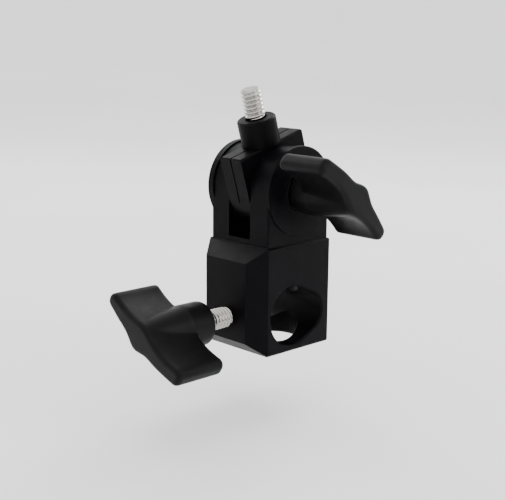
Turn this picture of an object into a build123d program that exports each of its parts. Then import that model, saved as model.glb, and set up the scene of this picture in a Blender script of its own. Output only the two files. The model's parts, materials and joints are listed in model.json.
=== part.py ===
"""Swivel bracket for a studio lamp on a light stand.

Millimetres.  The origin is on the axis of the stand bore, at the bottom face
of the block.  +Z is up, the lock knob is on -X, the tilt knob is on -Y and
the tilt axis runs along Y.
"""
from build123d import *
import os

# Casting
BLOCK_X = 27.0
BLOCK_Y = 25.8
BLOCK_H = 33.0
FORK_INSET = 0.6        # the fork is this much smaller on every side
EDGE = 0.4              # broken edges of the casting
AXIS_X = -1.4           # tilt axis, and the middle of the block along X
AXIS_Z = 48.9
SLOT_W = 9.2
SLOT_DROP = 14.3        # slot floor below the tilt axis
BOSS_R = 13.4
BOSS_LAP = 1.0          # how far each boss reaches back into its ear
FRONT_BOSS_H = 0.6
BACK_BOSS_H = 1.4

# Lock pad, stand bore and cross socket
PAD_D = 5.0
PAD_INSET = 4.3
STAND_R = 8.1           # takes the 16 mm stud of a light stand
STAND_DEPTH = 31.0
LOCK_Z = 11.0           # height of the lock screw and of the cross socket
CROSS_XA = -3.83        # wide end of the cross socket
CROSS_RA = 9.25
CROSS_XB = 2.4          # narrow end, where the two flat seats run together
CROSS_RB = 6.6
RIM = 0.5               # chamfer at the mouths of the bores

# Quarter-inch screws
SCREW_R = 3.175
CLEAR_R = 3.35
RUN = 0.05              # radial running fit
HEX_FLATS = 11.1
HEX_H = 4.0
SCREW_END = 0.6         # chamfer on the end of a screw

# Tilting head
TILT = 16.8             # tilt of the head as drawn, +X end up
HEAD_L = 26.6
HEAD_W = 8.9
HEAD_TOP = 14.1         # flat top above the tilt axis
GROOVE_W = 0.5
GROOVE_D = 0.35
FRICTION_R = 9.0
FRICTION_T = 0.9
FRICTION_PROUD = 0.1
SPACER_R = 5.9
SPACER_H = 8.0
STUD_IN = 8.0
STUD_OUT = 9.0
SHANK_R = 3.0           # smooth lower part of the stud, pressed into the head

# Wing knobs: a bowed blade with a long and a short wing, and a round neck
LOCK_KNOB_L = 24.5
TILT_KNOB_L = 22.4
BLADE_D = 16.7
NECK_R = 6.65
NECK_ROUND = 1.8
HUB_R = 4.6             # the neck narrows to this at the outer face
BLADE = [               # place along the blade, hollow side, bulging side
    (-19.4, -5.3, 0.2),
    (-13.5, -3.7, 1.6),
    (-9.0, -3.2, 2.4),
    (-4.5, -3.8, 3.0),
    (0.0, -4.7, 4.6),
    (4.5, -3.8, 3.0),
    (9.0, -3.2, 2.1),
    (13.0, -3.3, 1.4),
    (16.2, -3.9, 0.7),
]
NOSE = 2.0              # rounding of the wing tips
KNOB_EDGE = 1.2
LOCK_TURN = 147.8       # how each knob stands, seen from outside
TILT_TURN = -43.2

# Lock screw
LOCK_GAP = 8.8          # thread that shows between pad and knob
BUSH_R = 5.0
BUSH_L = 6.0
TIP_R = 2.6
TIP_L = 3.0
PIN_R = 1.6
PIN_L = 1.8
STEM_IN_KNOB = 12.0
STEM_HEAD_FLATS = 7.0
STEM_HEAD_H = 3.0

# Tilt screw
WASHER_R = 6.3
WASHER_T = 0.8
INSERT_R = 4.2
INSERT_L = 11.0
POCKET_L = 14.0         # depth of the screw hole in the tilt knob

# Places that follow from the sizes above
BLOCK_X0 = AXIS_X - BLOCK_X / 2
PAD_X = BLOCK_X0 - PAD_D
FORK_X = BLOCK_X - 2 * FORK_INSET
FORK_Y = BLOCK_Y - 2 * FORK_INSET
FRONT_Y = -FORK_Y / 2 - FRONT_BOSS_H
BACK_Y = FORK_Y / 2 + BACK_BOSS_H
SLOT_FLOOR = AXIS_Z - SLOT_DROP
LOCK_NECK_X = PAD_X - LOCK_GAP
TILT_NECK_Y = FRONT_Y - WASHER_T
TIP_X = -STAND_R - RUN
TIP_BACK_X = TIP_X - TIP_L
UPWARD = (Align.CENTER, Align.CENTER, Align.MIN)


def block(x0, x1, y0, y1, z0, z1):
    """Box between two corners."""
    middle = Pos((x0 + x1) / 2, (y0 + y1) / 2, (z0 + z1) / 2)
    return middle * Box(x1 - x0, y1 - y0, z1 - z0)


def rod_x(radius, x0, x1):
    """Round bar on the lock screw's axis."""
    middle = Pos((x0 + x1) / 2, 0, LOCK_Z)
    return middle * Rot(0, 90, 0) * Cylinder(radius, x1 - x0)


def rod_y(radius, y0, y1):
    """Round bar on the tilt axis."""
    middle = Pos(AXIS_X, (y0 + y1) / 2, AXIS_Z)
    return middle * Rot(90, 0, 0) * Cylinder(radius, y1 - y0)


def hexagon(flats):
    """Hexagon, given its width across the flats."""
    return RegularPolygon(flats / 2, 6, major_radius=False)


def ring(outer_r, inner_r, height):
    """Washer or tube standing on z = 0."""
    body = Cylinder(outer_r, height, align=UPWARD)
    return body - Cylinder(inner_r, height, align=UPWARD)


def cross_section(grow=0.0):
    """Egg-shaped opening: a round end that narrows along two flat seats."""
    wide = Pos(CROSS_XA, LOCK_Z) * Circle(CROSS_RA + grow)
    narrow = Pos(CROSS_XB, LOCK_Z) * Circle(CROSS_RB + grow)
    return make_hull(wide.edges() + narrow.edges())


def cut_cross_socket(body):
    """Cut the opening along Y, with a chamfered mouth on both sides."""
    body -= extrude(Plane.XZ * cross_section(), BLOCK_Y, both=True)
    for side in (-1, 1):
        face = Plane(origin=(0, side * BLOCK_Y / 2, 0), x_dir=(1, 0, 0), z_dir=(0, -1, 0))
        body -= extrude(face * cross_section(RIM), amount=side * RIM, taper=45)
    return body


def make_yoke_body():
    """Casting: block with the bores below, fork with two ears above."""
    x0, x1 = AXIS_X - BLOCK_X / 2, AXIS_X + BLOCK_X / 2
    lower = block(x0, x1, -BLOCK_Y / 2, BLOCK_Y / 2, 0, BLOCK_H)
    lower = chamfer(lower.edges(), EDGE)

    facing = Pos(x0, 0, BLOCK_H / 2) * Rot(0, -90, 0)
    foot = facing * Rectangle(BLOCK_H - 2 * EDGE, BLOCK_Y - 2 * EDGE)
    front = Rectangle(BLOCK_H - 2 * PAD_INSET, BLOCK_Y - 2 * PAD_INSET)
    pad = loft([foot, facing * Pos(0, 0, PAD_D) * front])

    half_x, half_y = FORK_X / 2, FORK_Y / 2
    fork = block(AXIS_X - half_x, AXIS_X + half_x, -half_y, half_y, BLOCK_H - 1, AXIS_Z)
    fork += rod_y(half_x, -half_y, half_y)
    fork -= block(x0, x1, -SLOT_W / 2, SLOT_W / 2, SLOT_FLOOR, AXIS_Z + half_x + 1)
    fork = chamfer(fork.edges().group_by(Axis.Y)[0] + fork.edges().group_by(Axis.Y)[-1], EDGE)

    bosses = rod_y(BOSS_R, FRONT_Y, -half_y + BOSS_LAP)
    bosses += rod_y(BOSS_R, half_y - BOSS_LAP, BACK_Y)
    rims = bosses.edges().group_by(Axis.Y)
    bosses = chamfer(rims[0] + rims[-1], EDGE / 2)

    body = lower + pad + fork + bosses
    body -= Cylinder(STAND_R, STAND_DEPTH, align=UPWARD)
    body -= Cone(STAND_R + RIM, STAND_R, RIM, align=UPWARD)
    body = cut_cross_socket(body)
    body -= rod_y(CLEAR_R, -BLOCK_Y, BLOCK_Y)
    head_seat = Pos(AXIS_X, BACK_Y, AXIS_Z) * Rot(90, 0, 0)
    body -= head_seat * extrude(hexagon(HEX_FLATS), HEX_H)
    body -= rod_x(BUSH_R, PAD_X, PAD_X + BUSH_L)
    body -= rod_x(CLEAR_R, PAD_X, CROSS_XA)
    return body


def make_lock_bush():
    """Threaded steel bush in the lock pad."""
    bush = rod_x(BUSH_R, PAD_X, PAD_X + BUSH_L)
    return bush - rod_x(SCREW_R + RUN, PAD_X, PAD_X + BUSH_L)


def make_lock_tip():
    """Brass pad that bears on the stand's stud."""
    tip = rod_x(TIP_R, TIP_BACK_X, TIP_X)
    tip = fillet(tip.edges().sort_by(Axis.X)[-1], 0.5)
    return tip - rod_x(PIN_R + RUN, TIP_BACK_X, TIP_BACK_X + PIN_L + RUN)


def make_lock_screw():
    """Screw with a hexagon head inside the knob and a pin for the brass pad."""
    head_x = LOCK_NECK_X - STEM_IN_KNOB
    screw = rod_x(SCREW_R, head_x, TIP_BACK_X - RUN)
    screw = chamfer(screw.edges().sort_by(Axis.X)[-1], SCREW_END)
    screw += rod_x(PIN_R, TIP_BACK_X - RUN, TIP_BACK_X + PIN_L)
    return screw + stem_head()


def stem_head():
    """Hexagon head of the lock screw."""
    seat = Pos(LOCK_NECK_X - STEM_IN_KNOB, 0, LOCK_Z) * Rot(0, -90, 0)
    return seat * extrude(hexagon(STEM_HEAD_FLATS), STEM_HEAD_H)


def blade_outline():
    """Bow of two unlike wings that thicken softly into the hub, bulging to +Y."""
    low = [(x, hollow) for x, hollow, bulge in BLADE]
    high = [(x, bulge) for x, hollow, bulge in BLADE]
    ends = [Line(low[end], high[end]) for end in (0, -1)]
    outline = make_face([Spline(*high), Spline(*low)] + ends)
    return fillet(outline.vertices(), NOSE)


def knob_blank(length):
    """Wing knob along +Z, neck end at z = 0."""
    neck_l = length - BLADE_D
    wings = Pos(0, 0, neck_l) * extrude(blade_outline(), BLADE_D)
    wings = fillet(wings.edges().group_by(Axis.Z)[-1], KNOB_EDGE)
    wings = fillet(wings.edges().group_by(Axis.Z)[0], KNOB_EDGE)
    neck = Cylinder(NECK_R, neck_l + 1, align=UPWARD)
    neck = fillet(neck.edges().group_by(Axis.Z)[0], NECK_ROUND)
    hub = Pos(0, 0, neck_l) * Cone(NECK_R, HUB_R, BLADE_D - KNOB_EDGE, align=UPWARD)
    return wings + neck + hub


def lock_place():
    """Knob frame to the lock screw: outwards is -X."""
    seen = Plane(origin=(LOCK_NECK_X, 0, LOCK_Z), x_dir=(0, -1, 0), z_dir=(-1, 0, 0))
    return seen.location * Rot(0, 0, LOCK_TURN)


def tilt_place():
    """Knob frame to the tilt screw: outwards is -Y."""
    seen = Plane(origin=(AXIS_X, TILT_NECK_Y, AXIS_Z), x_dir=(1, 0, 0), z_dir=(0, -1, 0))
    return seen.location * Rot(0, 0, TILT_TURN)


def make_lock_knob():
    """Wing knob moulded round the lock screw."""
    knob = lock_place() * knob_blank(LOCK_KNOB_L)
    knob -= rod_x(SCREW_R, LOCK_NECK_X - STEM_IN_KNOB, LOCK_NECK_X)
    return knob - stem_head()


def make_tilt_knob():
    """Wing knob with a pocket for its threaded insert."""
    knob = knob_blank(TILT_KNOB_L)
    knob -= Cylinder(INSERT_R, INSERT_L, align=UPWARD)
    knob -= Cylinder(CLEAR_R, POCKET_L, align=UPWARD)
    return tilt_place() * knob


def make_tilt_knob_insert():
    """Brass threaded insert of the tilt knob."""
    return tilt_place() * ring(INSERT_R, SCREW_R + RUN, INSERT_L)


def make_tilt_bolt():
    """Bolt on the tilt axis, its hexagon head let into the back boss."""
    end_y = TILT_NECK_Y - INSERT_L
    bolt = rod_y(SCREW_R, end_y, BACK_Y - HEX_H)
    bolt = chamfer(bolt.edges().sort_by(Axis.Y)[0], SCREW_END)
    seat = Pos(AXIS_X, BACK_Y, AXIS_Z) * Rot(90, 0, 0)
    return bolt + seat * extrude(hexagon(HEX_FLATS), HEX_H)


def make_tilt_washer():
    """Flat washer between the front boss and the tilt knob."""
    seat = Pos(AXIS_X, FRONT_Y, AXIS_Z) * Rot(90, 0, 0)
    return seat * ring(WASHER_R, CLEAR_R, WASHER_T)


def head_place():
    """Level head to its tilted place on the tilt axis."""
    return Pos(AXIS_X, 0, AXIS_Z) * Rot(0, -TILT, 0)


def friction_seat(side):
    """Frame of a friction washer, pointing out of the side of the head."""
    depth = FRICTION_T - FRICTION_PROUD
    return Pos(0, side * (HEAD_W / 2 - depth), 0) * Rot(-90 * side, 0, 0)


def make_tilt_head():
    """Tongue with a flat top and a rounded foot."""
    head = Cylinder(HEAD_L / 2, HEAD_W, rotation=(90, 0, 0))
    head += Box(HEAD_L, HEAD_W, HEAD_TOP, align=UPWARD)
    head = chamfer(head.edges().group_by(Axis.Z)[-1], EDGE)
    head -= Pos(0, 0, HEAD_TOP) * Box(HEAD_L, GROOVE_W, 2 * GROOVE_D)
    for side in (-1, 1):
        head -= Pos(side * HEAD_L / 2, 0, 0) * Box(2 * GROOVE_D, GROOVE_W, HEAD_TOP, align=UPWARD)
        head -= friction_seat(side) * Cylinder(FRICTION_R, FRICTION_T, align=UPWARD)
    head -= Cylinder(SCREW_R + RUN, HEAD_W, rotation=(90, 0, 0))
    head -= Pos(0, 0, HEAD_TOP - STUD_IN) * Cylinder(SHANK_R, STUD_IN, align=UPWARD)
    return head_place() * head


def make_friction_washer(side):
    """Fibre washer let into one side of the head."""
    return head_place() * friction_seat(side) * ring(FRICTION_R, CLEAR_R, FRICTION_T)


def make_lamp_spacer():
    """Round collar that the lamp stands on."""
    collar = ring(SPACER_R, CLEAR_R, SPACER_H)
    collar = chamfer(collar.edges().group_by(Axis.Z)[-1].sort_by(SortBy.LENGTH)[-1], EDGE)
    return head_place() * Pos(0, 0, HEAD_TOP) * collar


def make_lamp_stud():
    """Stud with a smooth shank through the collar and a thread above it."""
    stud = Cylinder(SCREW_R, STUD_OUT, align=UPWARD)
    stud = chamfer(stud.edges().group_by(Axis.Z)[-1], SCREW_END)
    shank_l = STUD_IN + SPACER_H
    stud += Pos(0, 0, -shank_l) * Cylinder(SHANK_R, shank_l, align=UPWARD)
    return head_place() * Pos(0, 0, HEAD_TOP + SPACER_H) * stud


PARTS = {
    "yoke_body": make_yoke_body,
    "lock_bush": make_lock_bush,
    "lock_tip": make_lock_tip,
    "lock_screw": make_lock_screw,
    "lock_knob": make_lock_knob,
    "tilt_bolt": make_tilt_bolt,
    "tilt_washer": make_tilt_washer,
    "tilt_knob": make_tilt_knob,
    "tilt_knob_insert": make_tilt_knob_insert,
    "tilt_head": make_tilt_head,
    "friction_washer_front": lambda: make_friction_washer(-1),
    "friction_washer_back": lambda: make_friction_washer(1),
    "lamp_spacer": make_lamp_spacer,
    "lamp_stud": make_lamp_stud,
}

os.makedirs("parts", exist_ok=True)
for name, make in PARTS.items():
    shape = make()
    shape.label = name
    export_step(shape, f"parts/{name}.step")
    print(name, len(shape.solids()), round(shape.volume, 1))
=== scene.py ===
"""Looks of the swivel bracket: materials, cut threads, soft moulded knobs, studio."""

import json
import math

import bmesh
import bpy
from mathutils import Matrix, Vector


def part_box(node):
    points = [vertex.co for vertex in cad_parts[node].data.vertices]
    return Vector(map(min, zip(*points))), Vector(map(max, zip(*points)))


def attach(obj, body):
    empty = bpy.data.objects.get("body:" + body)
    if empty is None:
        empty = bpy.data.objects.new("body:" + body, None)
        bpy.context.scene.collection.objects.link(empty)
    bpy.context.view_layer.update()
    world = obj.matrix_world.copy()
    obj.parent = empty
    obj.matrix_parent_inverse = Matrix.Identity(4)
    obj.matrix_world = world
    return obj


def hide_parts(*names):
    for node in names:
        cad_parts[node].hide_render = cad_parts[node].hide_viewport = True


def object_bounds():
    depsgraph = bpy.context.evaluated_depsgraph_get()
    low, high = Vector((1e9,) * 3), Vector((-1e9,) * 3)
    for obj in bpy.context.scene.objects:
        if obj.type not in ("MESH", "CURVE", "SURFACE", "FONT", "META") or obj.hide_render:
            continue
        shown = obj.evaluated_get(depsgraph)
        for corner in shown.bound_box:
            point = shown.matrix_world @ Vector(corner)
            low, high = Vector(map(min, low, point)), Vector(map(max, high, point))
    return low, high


# Camera: it stands in front of the near vertical edge of the block, a little above it
CAMERA_AZIMUTH = math.radians(-43.93)
CAMERA_ELEVATION = math.radians(12.08)
CAMERA_ROLL = math.radians(0.49)
CAMERA_DISTANCE = 0.3262
CAMERA_ASIDE = 0.00606      # the stand bore's mouth lies this far right of the view's middle
CAMERA_BELOW = 0.0281       # and this far below it
CAMERA_SENSOR = 36.0
CAMERA_LENS = 73.5
CAMERA_NEAR = 0.01

# Screw threads
SCREW_RADIUS = 0.003175
THREAD_PITCH = 0.00127
THREAD_DEPTH = 0.00062
THREAD_STEPS = 40           # points round one turn
THREAD_ROWS = 12            # slices along one pitch
THREAD_RUN_OUT = 0.6        # pitches over which the thread fades at an end
# Phase and height from one crest over the groove to the next crest
THREAD_FORM = [(0.0, 1.0), (0.15, 0.85), (0.5, 0.0), (0.85, 0.85), (1.0, 1.0)]

# Knobs
KNOB_VOXEL = 0.00028
KNOB_RELAX = 0.5            # strength of one round of smoothing
KNOB_SMOOTHING = 10         # rounds of smoothing

CREASE = math.radians(50)   # faces that meet at more than this keep a sharp edge

# Noise scales in cells per metre, each with its detail
TONE_NOISE = (140, 3)
GLOSS_NOISE = (420, 5)
MARKS_NOISE = (260, 3)
FLOOR_NOISE = (6, 2)
GRAIN_DETAIL = 2
GRAIN_STRENGTH = 0.35
NOISE_RANGE = (0.3, 0.7)    # the part of the noise that is spread over the roughness
TONE_RANGE = (0.35, 0.65)   # and over the two tones

# Paint and plastic: dark tone, light tone, roughness, grain, its relief in metres, specular level
COATINGS = {
    "black_casting": ((0.0012, 0.0011, 0.0017), (0.0020, 0.0018, 0.0026),
                      (0.38, 0.46), 5200, 0.000012, 0.05),
    "black_tongue": ((0.0012, 0.0011, 0.0016), (0.0020, 0.0018, 0.0025),
                     (0.36, 0.44), 5200, 0.000012, 0.05),
    "black_collar": ((0.0010, 0.0010, 0.0012), (0.0016, 0.0016, 0.0019),
                     (0.40, 0.50), 4200, 0.000012, 0.05),
    "black_plastic": ((0.0022, 0.0021, 0.0025), (0.0034, 0.0033, 0.0038),
                      (0.34, 0.44), 7500, 0.00002, 0.09),
    "fibre": ((0.2, 0.08, 0.045), (0.3, 0.13, 0.08), (0.7, 0.85), 3000, 0.00004, 0.3),
}

# Metals: dark tone, light tone, roughness, stretch of the marks
METALS = {
    "steel": ((0.36, 0.35, 0.33), (0.46, 0.45, 0.42), (0.16, 0.24), (1, 1, 4)),
    "brass": ((0.66, 0.5, 0.22), (0.76, 0.6, 0.3), (0.22, 0.32), (4, 1, 1)),
}

# Studio: a white bowl, so that no horizon shows from any side
BOWL_DROP = 0.02            # the floor lies this far below the part
BOWL_FLAT = 0.7             # radius of the flat middle
BOWL_BEND = 2.0             # radius of the bend round it
BOWL_RINGS = 40             # steps up the bend
BOWL_STEPS = 96             # points round one ring
BOWL_TONES = ((0.90, 0.90, 0.90), (0.93, 0.93, 0.93))
BOWL_ROUGHNESS = 0.8
WORLD_STRENGTH = 1.8
LIGHT_TARGET = (0, 0, 0.035)
LIGHTS = {                  # place, side of the square, power
    "key": ((0.52, 0.10, 0.52), 0.35, 2.5),
    "front": ((0.15, -0.80, 0.40), 0.40, 2.0),
    "back": ((0.10, 0.60, 0.45), 0.40, 1.5),
}


def node_tree(name):
    """New material with a Principled shader; returns the material, its nodes, links and shader."""
    material = bpy.data.materials.new(name)
    material.use_nodes = True
    tree = material.node_tree
    return material, tree.nodes, tree.links, tree.nodes["Principled BSDF"]


def object_noise(nodes, links, scale, detail, stretch=(1, 1, 1)):
    """Noise fixed to the object."""
    place = nodes.new("ShaderNodeTexCoord")
    mapping = nodes.new("ShaderNodeMapping")
    mapping.inputs["Scale"].default_value = stretch
    noise = nodes.new("ShaderNodeTexNoise")
    noise.inputs["Scale"].default_value = scale
    noise.inputs["Detail"].default_value = detail
    links.new(place.outputs["Object"], mapping.inputs["Vector"])
    links.new(mapping.outputs["Vector"], noise.inputs["Vector"])
    return noise.outputs["Fac"]


def ramp(nodes, links, value, low, high):
    """Colour ramp between two tones."""
    band = nodes.new("ShaderNodeValToRGB")
    for stop, position, tone in zip(band.color_ramp.elements, TONE_RANGE, (low, high)):
        stop.position = position
        stop.color = (*tone, 1)
    links.new(value, band.inputs["Fac"])
    return band.outputs["Color"]


def spread(nodes, links, value, low, high):
    """Map noise to a number between low and high."""
    mapped = nodes.new("ShaderNodeMapRange")
    mapped.inputs["From Min"].default_value = NOISE_RANGE[0]
    mapped.inputs["From Max"].default_value = NOISE_RANGE[1]
    mapped.inputs["To Min"].default_value = low
    mapped.inputs["To Max"].default_value = high
    links.new(value, mapped.inputs["Value"])
    return mapped.outputs["Result"]


def bump(nodes, links, height, distance, shader):
    """Fine relief, its depth in metres."""
    relief = nodes.new("ShaderNodeBump")
    relief.inputs["Distance"].default_value = distance
    relief.inputs["Strength"].default_value = GRAIN_STRENGTH
    links.new(height, relief.inputs["Height"])
    links.new(relief.outputs["Normal"], shader.inputs["Normal"])


def coated(name, dark, light, rough, grain, relief, specular):
    """Painted metal or moulded plastic: patchy tone, a fine grain and uneven gloss."""
    material, nodes, links, shader = node_tree(name)
    patches = object_noise(nodes, links, *TONE_NOISE)
    links.new(ramp(nodes, links, patches, dark, light), shader.inputs["Base Color"])
    gloss = object_noise(nodes, links, *GLOSS_NOISE)
    links.new(spread(nodes, links, gloss, *rough), shader.inputs["Roughness"])
    bump(nodes, links, object_noise(nodes, links, grain, GRAIN_DETAIL), relief, shader)
    shader.inputs["Specular IOR Level"].default_value = specular
    return material


def bare_metal(name, dark, light, rough, stretch):
    """Turned or plated metal with fine marks along its surface."""
    material, nodes, links, shader = node_tree(name)
    marks = object_noise(nodes, links, *MARKS_NOISE, stretch)
    links.new(ramp(nodes, links, marks, dark, light), shader.inputs["Base Color"])
    links.new(spread(nodes, links, marks, *rough), shader.inputs["Roughness"])
    shader.inputs["Metallic"].default_value = 1.0
    return material


def make_materials():
    """One material for each slot of the record."""
    made = {name: coated(name, *look) for name, look in COATINGS.items()}
    made.update({name: bare_metal(name, *look) for name, look in METALS.items()})
    return made


def paint(obj, material):
    """Give a piece one material."""
    obj.data.materials.clear()
    obj.data.materials.append(material)


def shade_soft(obj):
    """Smooth shading that keeps the sharp joins."""
    for face in obj.data.polygons:
        face.use_smooth = True
    obj.data.set_sharp_from_angle(angle=CREASE)


def new_piece(name, mesh):
    """Object in the scene for a mesh."""
    obj = bpy.data.objects.new(name, mesh)
    bpy.context.scene.collection.objects.link(obj)
    return obj


def soft_knob(name, node, body, frame, material):
    """Moulded knob: the CAD knob with its joins melted together."""
    piece = new_piece(name, frame["nodes"][node].data.copy())
    remesh = piece.modifiers.new("melt", "REMESH")
    remesh.mode = "VOXEL"
    remesh.voxel_size = KNOB_VOXEL
    relax = piece.modifiers.new("relax", "SMOOTH")
    relax.factor = KNOB_RELAX
    relax.iterations = KNOB_SMOOTHING
    depsgraph = bpy.context.evaluated_depsgraph_get()
    mesh = bpy.data.meshes.new_from_object(piece.evaluated_get(depsgraph))
    piece.modifiers.clear()
    piece.data = mesh
    for face in mesh.polygons:
        face.use_smooth = True
    paint(piece, material)
    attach(piece, body)
    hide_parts(node)


def thread_height(phase):
    """Height of the thread, 1 at a crest and 0 at a root, at a phase from 0 to 1."""
    for (p0, h0), (p1, h1) in zip(THREAD_FORM, THREAD_FORM[1:]):
        if phase <= p1:
            return h0 + (h1 - h0) * (phase - p0) / (p1 - p0)


def thread_ring(mesh, z, length):
    """One slice of a threaded bar; the thread runs out at both ends of the bar."""
    ring = []
    run_out = min(1.0, min(z, length - z) / (THREAD_PITCH * THREAD_RUN_OUT))
    for step in range(THREAD_STEPS):
        turn = step / THREAD_STEPS
        height = thread_height((z / THREAD_PITCH - turn) % 1.0) * run_out
        radius = SCREW_RADIUS - THREAD_DEPTH * (1 - height)
        angle = 2 * math.pi * turn
        ring.append(mesh.verts.new((radius * math.cos(angle), radius * math.sin(angle), z)))
    return ring


def thread_mesh(name, length):
    """Threaded bar along +Z from z = 0: a V-shaped helix as one closed surface."""
    mesh = bmesh.new()
    slices = math.ceil(length / THREAD_PITCH * THREAD_ROWS)
    rings = [thread_ring(mesh, length * layer / slices, length) for layer in range(slices + 1)]
    for low, high in zip(rings, rings[1:]):
        for step in range(THREAD_STEPS):
            after = (step + 1) % THREAD_STEPS
            mesh.faces.new((low[step], low[after], high[after], high[step]))
    mesh.faces.new(list(reversed(rings[0])))
    mesh.faces.new(rings[-1])
    data = bpy.data.meshes.new(name)
    mesh.to_mesh(data)
    mesh.free()
    return data


def cut_thread(name, node, body, start, direction, length, material):
    """Cut thread in the place of a plain screw."""
    piece = new_piece(name, thread_mesh(name, length))
    turn = Vector(direction).to_track_quat("Z", "Y").to_matrix().to_4x4()
    piece.data.transform(Matrix.Translation(start) @ turn)
    shade_soft(piece)
    paint(piece, material)
    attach(piece, body)
    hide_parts(node)


def make_lock_thread(material):
    """Thread of the lock screw, from its knob inwards."""
    low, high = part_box("lock_screw")
    start = Vector((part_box("lock_knob")[1].x, 0, (low.z + high.z) / 2))
    cut_thread("lock_screw_thread", "lock_screw", "lock_grip", start, (1, 0, 0), high.x - start.x, material)


def make_stud_thread(record, material):
    """Thread of the lamp stud, above the collar."""
    stud = next(mount for mount in record["mounts"] if mount["name"] == "lamp_stud")
    length = stud["dims"]["length_mm"] / 1000
    direction = Vector(stud["axis"])
    start = Vector(stud["pos_m"]) - direction * length / 2
    cut_thread("lamp_stud_thread", "lamp_stud", "head", start, direction, length, material)


def make_camera():
    """Camera at the photographed angle, aimed past the stand bore's mouth."""
    a, e = CAMERA_AZIMUTH, CAMERA_ELEVATION
    right = Vector((math.cos(a), math.sin(a), 0))
    back = Vector((math.sin(a) * math.cos(e), -math.cos(a) * math.cos(e), math.sin(e)))
    up = back.cross(right)
    turn = Matrix((right, up, back)).transposed() @ Matrix.Rotation(CAMERA_ROLL, 3, "Z")
    camera = bpy.data.objects.new("camera", bpy.data.cameras.new("camera"))
    bpy.context.scene.collection.objects.link(camera)
    place = turn @ Vector((-CAMERA_ASIDE, CAMERA_BELOW, CAMERA_DISTANCE))
    camera.matrix_world = Matrix.Translation(place) @ turn.to_4x4()
    camera.data.sensor_width = CAMERA_SENSOR
    camera.data.lens = CAMERA_LENS
    camera.data.clip_start = CAMERA_NEAR
    bpy.context.scene.camera = camera


def area_light(name, place, size, power):
    """Soft square light aimed at the part."""
    lamp = bpy.data.lights.new(name, "AREA")
    lamp.shape = "SQUARE"
    lamp.size = size
    lamp.energy = power
    obj = bpy.data.objects.new(name, lamp)
    bpy.context.scene.collection.objects.link(obj)
    obj.location = place
    obj.rotation_mode = "QUATERNION"
    obj.rotation_quaternion = (Vector(place) - Vector(LIGHT_TARGET)).to_track_quat("Z", "Y")


def bowl_ring(index, low):
    """Radius and height of one ring of the white bowl."""
    angle = math.pi / 2 * index / BOWL_RINGS
    return BOWL_FLAT + BOWL_BEND * math.sin(angle), low + BOWL_BEND * (1 - math.cos(angle))


def floor_mesh(low):
    """Flat middle and bowl; a ring half way out on the flat keeps the middle evenly shaded."""
    mesh = bmesh.new()
    angles = [2 * math.pi * step / BOWL_STEPS for step in range(BOWL_STEPS)]
    outline = [(BOWL_FLAT / 2, low)] + [bowl_ring(index, low) for index in range(BOWL_RINGS + 1)]
    rings = [[mesh.verts.new((radius * math.cos(a), radius * math.sin(a), height)) for a in angles]
             for radius, height in outline]
    mesh.faces.new(rings[0])
    for inner, outer in zip(rings, rings[1:]):
        for step in range(BOWL_STEPS):
            after = (step + 1) % BOWL_STEPS
            mesh.faces.new((inner[step], outer[step], outer[after], inner[after]))
    data = bpy.data.meshes.new("floor")
    mesh.to_mesh(data)
    mesh.free()
    return data


def make_floor(low):
    """Flat pale floor that bends up into a wall all round."""
    floor = new_piece("floor", floor_mesh(low))
    shade_soft(floor)
    material, nodes, links, shader = node_tree("floor")
    tone = object_noise(nodes, links, *FLOOR_NOISE)
    links.new(ramp(nodes, links, tone, *BOWL_TONES), shader.inputs["Base Color"])
    shader.inputs["Roughness"].default_value = BOWL_ROUGHNESS
    paint(floor, material)


def make_studio(low):
    """White surroundings and soft lights."""
    world = bpy.data.worlds.new("studio")
    world.use_nodes = True
    background = world.node_tree.nodes["Background"]
    background.inputs["Color"].default_value = (1, 1, 1, 1)
    background.inputs["Strength"].default_value = WORLD_STRENGTH
    bpy.context.scene.world = world
    for name, light in LIGHTS.items():
        area_light(name, *light)
    make_floor(low)


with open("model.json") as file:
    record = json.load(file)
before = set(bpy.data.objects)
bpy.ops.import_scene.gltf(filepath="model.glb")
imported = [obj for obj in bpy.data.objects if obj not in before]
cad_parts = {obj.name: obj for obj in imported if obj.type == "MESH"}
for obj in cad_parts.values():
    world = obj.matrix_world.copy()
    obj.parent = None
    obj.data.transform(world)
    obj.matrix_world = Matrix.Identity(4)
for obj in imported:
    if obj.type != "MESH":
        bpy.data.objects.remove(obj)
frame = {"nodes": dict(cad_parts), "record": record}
cad_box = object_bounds()
materials = make_materials()
slots = {entry["node"]: entry["material_slot"] for entry in frame["record"]["subparts"]}
for node, obj in frame["nodes"].items():
    paint(obj, materials[slots[node]])
soft_knob("lock_knob_moulding", "lock_knob", "lock_grip", frame, materials["black_plastic"])
soft_knob("tilt_knob_moulding", "tilt_knob", "tilt_grip", frame, materials["black_plastic"])
make_lock_thread(materials["steel"])
make_stud_thread(frame["record"], materials["steel"])
make_camera()
make_studio(cad_box[0].z - BOWL_DROP)
